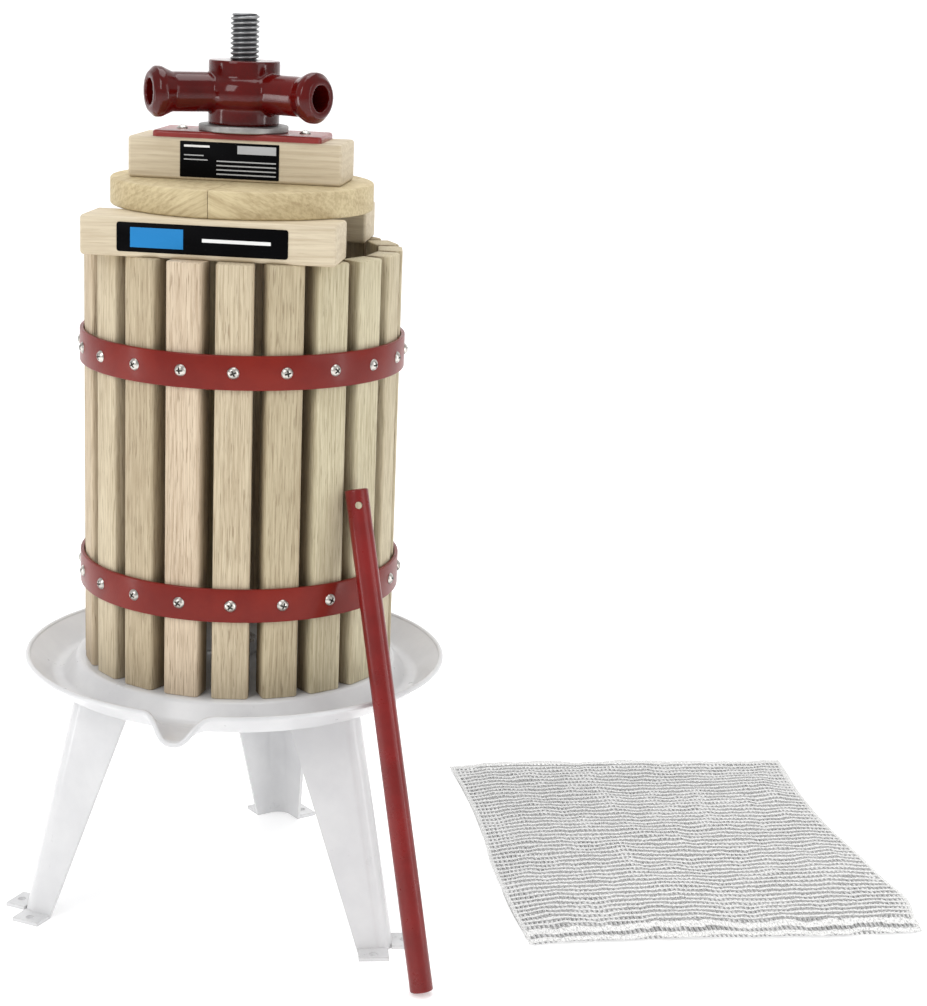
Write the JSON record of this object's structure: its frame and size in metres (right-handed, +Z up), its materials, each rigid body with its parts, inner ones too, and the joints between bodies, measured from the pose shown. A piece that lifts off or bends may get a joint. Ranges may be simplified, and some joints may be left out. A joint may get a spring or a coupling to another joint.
{
  "type": "fruit press",
  "caption": "Small spindle fruit press: slatted wooden basket on a three-legged steel tray, threaded spindle, pressing blocks, armed nut with a loose lever, and a net filter bag.",
  "frame": {"origin": "on the spindle axis at floor level, at the centre of the circle through the foot holes", "axes": "+Z up along the spindle, -Y towards the front of the press, +X to its right"},
  "size_m": [0.6068, 0.4051, 0.5825],
  "materials": {
    "white_coat": "glossy white powder coat",
    "zinc_steel": "zinc-plated",
    "spindle_steel": "rolled thread, oiled",
    "net_cloth": "open white net",
    "red_hoop": "semi-gloss red-brown paint",
    "screw_steel": "bright zinc",
    "beech": "sanded, unfinished",
    "oak": "planed, unfinished",
    "red_plate": "semi-gloss red-brown paint",
    "foil_label": "printed film",
    "grey_steel": "ground, dull",
    "red_hub": "gloss red-brown enamel",
    "red_bar": "semi-gloss red-brown paint"
  },
  "bodies": {
    "stand": {"tray": "white_coat", "leg_a": "white_coat", "leg_b": "white_coat", "leg_c": "white_coat", "leg_bolts": "zinc_steel", "leg_nuts": "zinc_steel", "spindle": "spindle_steel", "spindle_upper_nut": "zinc_steel", "spindle_washer": "zinc_steel", "spindle_lower_nut": "zinc_steel", "filter_bag": "net_cloth"},
    "basket": {"slat_01": "oak", "slat_02": "oak", "slat_03": "oak", "slat_04": "oak", "slat_05": "oak", "slat_06": "oak", "slat_07": "oak", "slat_08": "oak", "slat_09": "oak", "slat_10": "oak", "slat_11": "oak", "slat_12": "oak", "slat_13": "oak", "slat_14": "oak", "slat_15": "oak", "slat_16": "oak", "slat_17": "oak", "slat_18": "oak", "slat_19": "oak", "slat_20": "oak", "lower_hoop": "red_hoop", "upper_hoop": "red_hoop", "lower_hoop_screws": "screw_steel", "upper_hoop_screws": "screw_steel"},
    "lower_blocks": {"front_block": "beech", "rear_block": "beech", "block_label": "foil_label"},
    "pressing_disc": {"left_half_disc": "beech", "right_half_disc": "beech"},
    "top_block": {"top_block": "beech", "pressure_plate": "red_plate", "plate_screws": "screw_steel", "top_label": "foil_label"},
    "thrust_washer": {"thrust_washer": "grey_steel"},
    "hub": {"hub": "red_hub"},
    "lever": {"lever": "red_bar"}
  },
  "joints": [
    {"name": "basket_turn", "type": "hinge", "parent": "stand", "child": "basket", "pos_m": [0.0017, 0, 0.17], "axis": [0, 0, 1], "continuous": true},
    {"name": "lower_blocks_turn", "type": "hinge", "parent": "stand", "child": "lower_blocks", "pos_m": [0, 0, 0.44], "axis": [0, 0, 1], "continuous": true},
    {"name": "pressing_disc_turn", "type": "hinge", "parent": "stand", "child": "pressing_disc", "pos_m": [0, 0, 0.464], "axis": [0, 0, 1], "continuous": true},
    {"name": "top_block_turn", "type": "hinge", "parent": "stand", "child": "top_block", "pos_m": [0, 0, 0.481], "axis": [0, 0, 1], "continuous": true},
    {"name": "hub_travel", "type": "slide", "parent": "stand", "child": "thrust_washer", "axis": [0, 0, 1], "range_m": [0, 0.0271]},
    {"name": "hub_turn", "type": "hinge", "parent": "thrust_washer", "child": "hub", "pos_m": [0, 0, 0.5145], "axis": [0, 0, 1], "range_deg": [0, 3240]},
    {"name": "lever_tilt", "type": "hinge", "parent": "stand", "child": "lever", "pos_m": [0.11332, -0.15453, 0], "axis": [0.8752, 0.4838, 0], "range_deg": [0, 17.1]}
  ],
  "couplings": [
    {"joint": "hub_travel", "follows": "hub_turn", "m_per_rad": 0.00047746}
  ]
}
